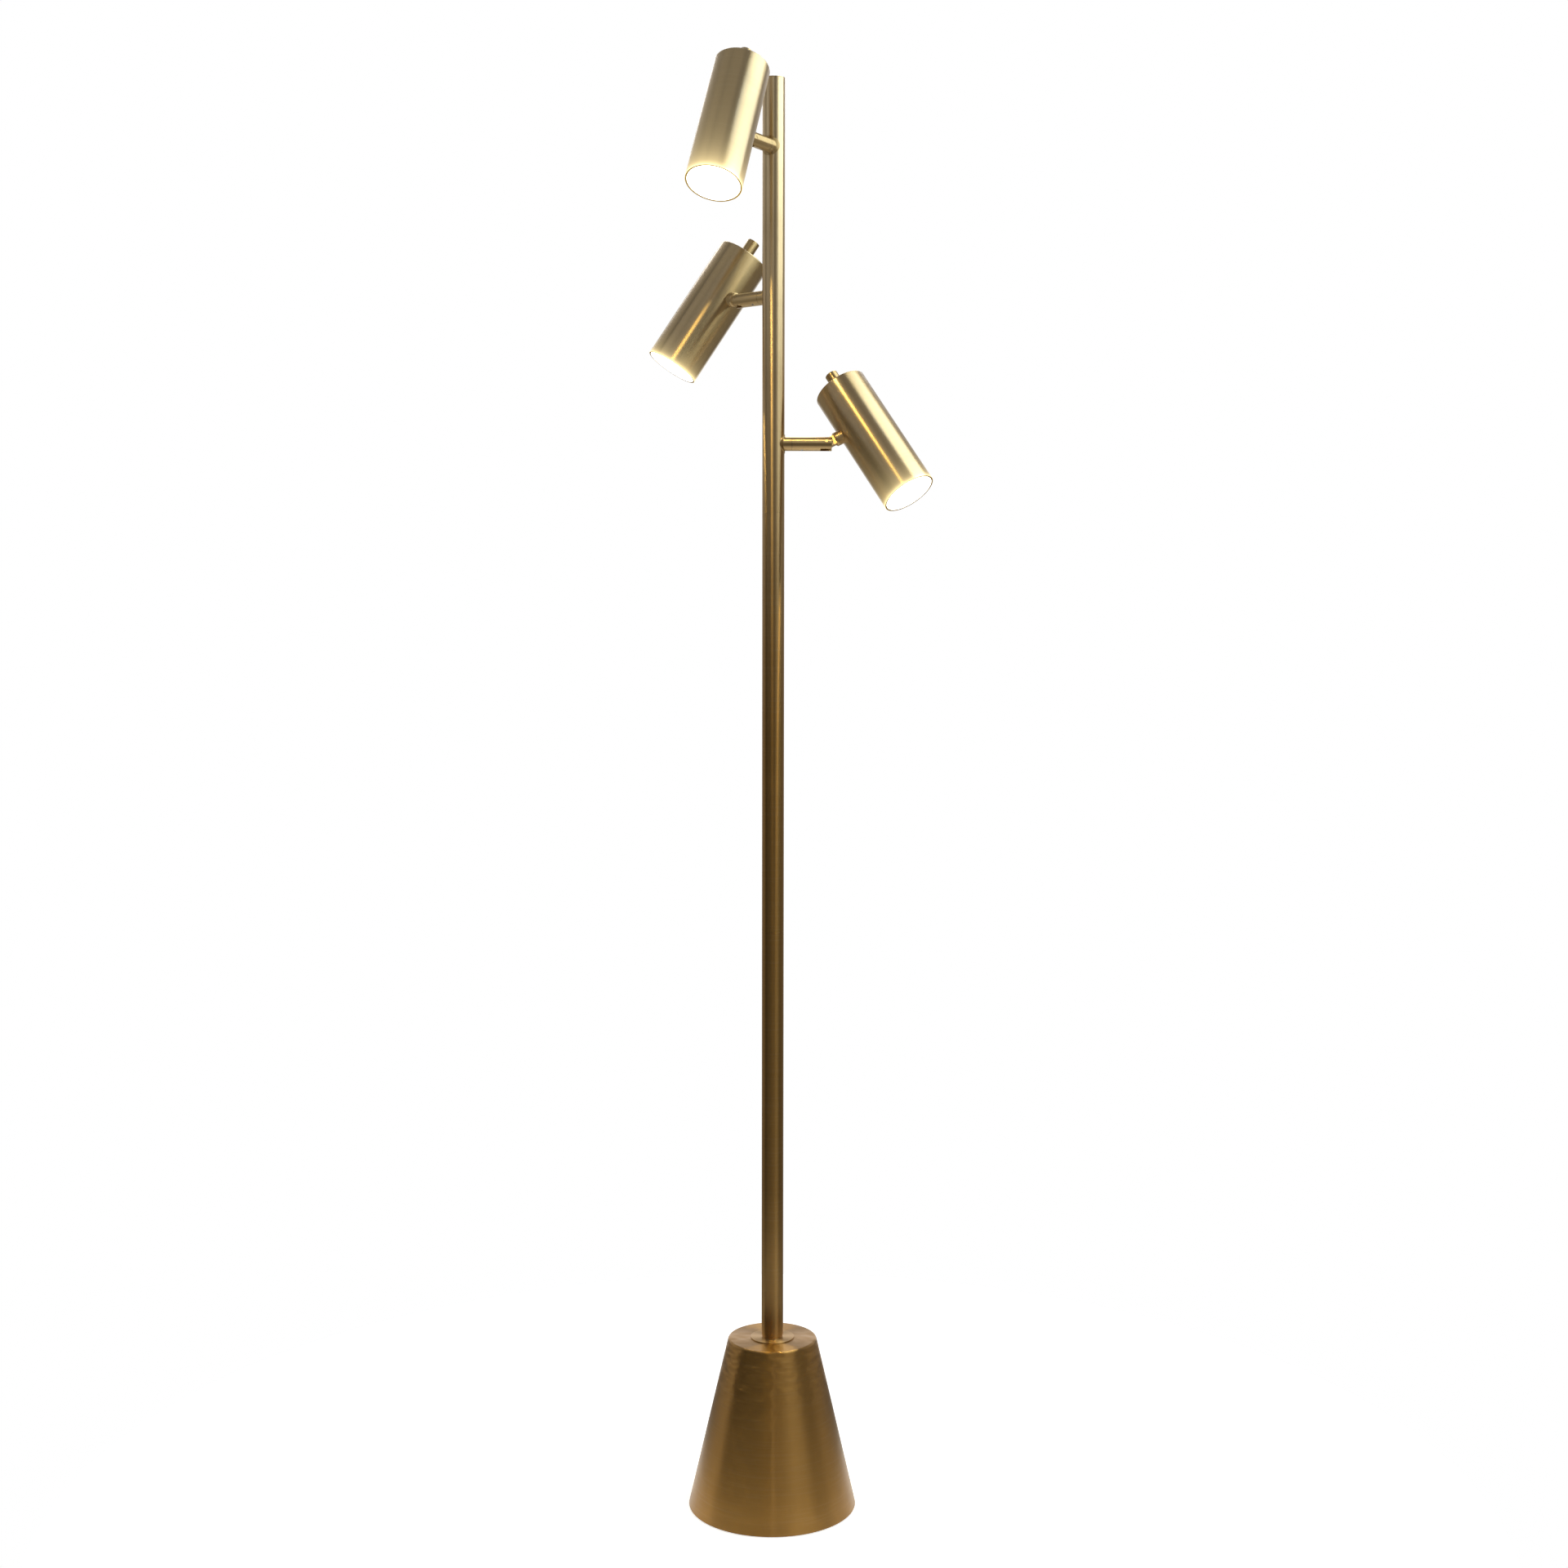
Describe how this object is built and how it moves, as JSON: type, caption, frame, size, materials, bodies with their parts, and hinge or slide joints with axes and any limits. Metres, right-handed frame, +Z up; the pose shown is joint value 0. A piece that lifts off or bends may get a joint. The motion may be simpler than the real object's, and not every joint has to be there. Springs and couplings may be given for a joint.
{
  "type": "tree floor lamp",
  "caption": "Tree floor lamp: weighted cone base, slim sectional pole and swivelling cylinder heads on short arms, each with its own turn-knob switch.",
  "frame": {"origin": "centre of the base's underside, on the pole's axis at floor level", "axes": "+Z up along the pole, -Y towards the front of the lamp, +X to the right seen from the front"},
  "size_m": [0.3231, 0.293, 1.6667],
  "materials": {
    "antique_brass": "brushed antique brass plate, clear lacquered",
    "cast_iron": "as cast, dark primer",
    "zinc_steel": "zinc plated",
    "felt": "pressed felt",
    "black_rubber": "moulded",
    "lead_insulation": "extruded insulation",
    "nylon": "moulded",
    "holder_plastic": "moulded phenolic",
    "switch_plastic": "moulded",
    "bulb_cap_metal": "rolled sheet",
    "opal_glass": "opal, lit"
  },
  "bodies": {
    "stand": {"base_cone": "antique_brass", "base_disc": "antique_brass", "base_plate": "zinc_steel", "base_weight": "cast_iron", "bottom_arm_boss": "antique_brass", "cord_bush": "black_rubber", "coupling_nipples": "zinc_steel", "floor_pad": "felt", "foot_insert": "antique_brass", "lower_tube": "antique_brass", "middle_arm_boss": "antique_brass", "middle_tube": "antique_brass", "plate_screws": "zinc_steel", "pole_cap": "antique_brass", "pole_leads": "lead_insulation", "rod_nut": "zinc_steel", "swivel_washers": "nylon", "tie_rod": "zinc_steel", "top_arm_boss": "antique_brass", "tube_inserts": "zinc_steel", "upper_tube": "antique_brass"},
    "top_swivel": {"top_arm_sleeve": "antique_brass", "top_arm_screw": "zinc_steel", "top_pivot_pin": "antique_brass"},
    "top_head": {"top_knuckle": "antique_brass", "top_knuckle_nut": "zinc_steel", "top_shade": "antique_brass", "top_lamp_holder": "holder_plastic", "top_bulb_base": "bulb_cap_metal", "top_bulb": "opal_glass", "top_switch": "switch_plastic", "top_switch_nut": "zinc_steel"},
    "top_switch_knob": {"top_switch_shaft": "zinc_steel", "top_knob": "antique_brass"},
    "middle_swivel": {"middle_arm_sleeve": "antique_brass", "middle_arm_screw": "zinc_steel", "middle_pivot_pin": "antique_brass"},
    "middle_head": {"middle_knuckle": "antique_brass", "middle_knuckle_nut": "zinc_steel", "middle_shade": "antique_brass", "middle_lamp_holder": "holder_plastic", "middle_bulb_base": "bulb_cap_metal", "middle_bulb": "opal_glass", "middle_switch": "switch_plastic", "middle_switch_nut": "zinc_steel"},
    "middle_switch_knob": {"middle_switch_shaft": "zinc_steel", "middle_knob": "antique_brass"},
    "bottom_swivel": {"bottom_arm_sleeve": "antique_brass", "bottom_arm_screw": "zinc_steel", "bottom_pivot_pin": "antique_brass"},
    "bottom_head": {"bottom_knuckle": "antique_brass", "bottom_knuckle_nut": "zinc_steel", "bottom_shade": "antique_brass", "bottom_lamp_holder": "holder_plastic", "bottom_bulb_base": "bulb_cap_metal", "bottom_bulb": "opal_glass", "bottom_switch": "switch_plastic", "bottom_switch_nut": "zinc_steel"},
    "bottom_switch_knob": {"bottom_switch_shaft": "zinc_steel", "bottom_knob": "antique_brass"}
  },
  "joints": [
    {"name": "top_arm_swivel", "type": "hinge", "parent": "stand", "child": "top_swivel", "pos_m": [-0.00905, -0.01906, 1.572], "axis": [-0.4289, -0.9033, 0], "range_deg": [-156.7, 153.3]},
    {"name": "top_shade_tilt", "type": "hinge", "parent": "top_swivel", "child": "top_head", "pos_m": [-0.02574, -0.0542, 1.572], "axis": [-0.9029, 0.4287, -0.0297], "range_deg": [-65.6, 28.4]},
    {"name": "top_knob_turn", "type": "hinge", "parent": "top_head", "child": "top_switch_knob", "pos_m": [-0.03449, -0.06755, 1.64536], "axis": [0.1886, 0.4573, 0.8691], "continuous": true},
    {"name": "middle_arm_swivel", "type": "hinge", "parent": "stand", "child": "middle_swivel", "pos_m": [-0.01334, 0.01635, 1.408], "axis": [-0.632, 0.7749, 0], "range_deg": [-186.8, 123.2]},
    {"name": "middle_shade_tilt", "type": "hinge", "parent": "middle_swivel", "child": "middle_head", "pos_m": [-0.03792, 0.0465, 1.408], "axis": [0.6586, 0.5372, -0.527], "range_deg": [-48.9, 45.1]},
    {"name": "middle_knob_turn", "type": "hinge", "parent": "middle_head", "child": "middle_switch_knob", "pos_m": [-0.03397, 0.09648, 1.46388], "axis": [0.5392, 0.1516, 0.8284], "continuous": true},
    {"name": "bottom_arm_swivel", "type": "hinge", "parent": "stand", "child": "bottom_swivel", "pos_m": [0.02109, 0.00048, 1.244], "axis": [0.9997, 0.0227, 0], "range_deg": [-127.4, 182.6]},
    {"name": "bottom_shade_tilt", "type": "hinge", "parent": "bottom_swivel", "child": "bottom_head", "pos_m": [0.05998, 0.00136, 1.244], "axis": [0.0201, -0.886, 0.4633], "range_deg": [-64.8, 29.2]},
    {"name": "bottom_knob_turn", "type": "hinge", "parent": "bottom_head", "child": "bottom_switch_knob", "pos_m": [0.07605, 0.03563, 1.30883], "axis": [-0.4908, 0.395, 0.7766], "continuous": true}
  ]
}
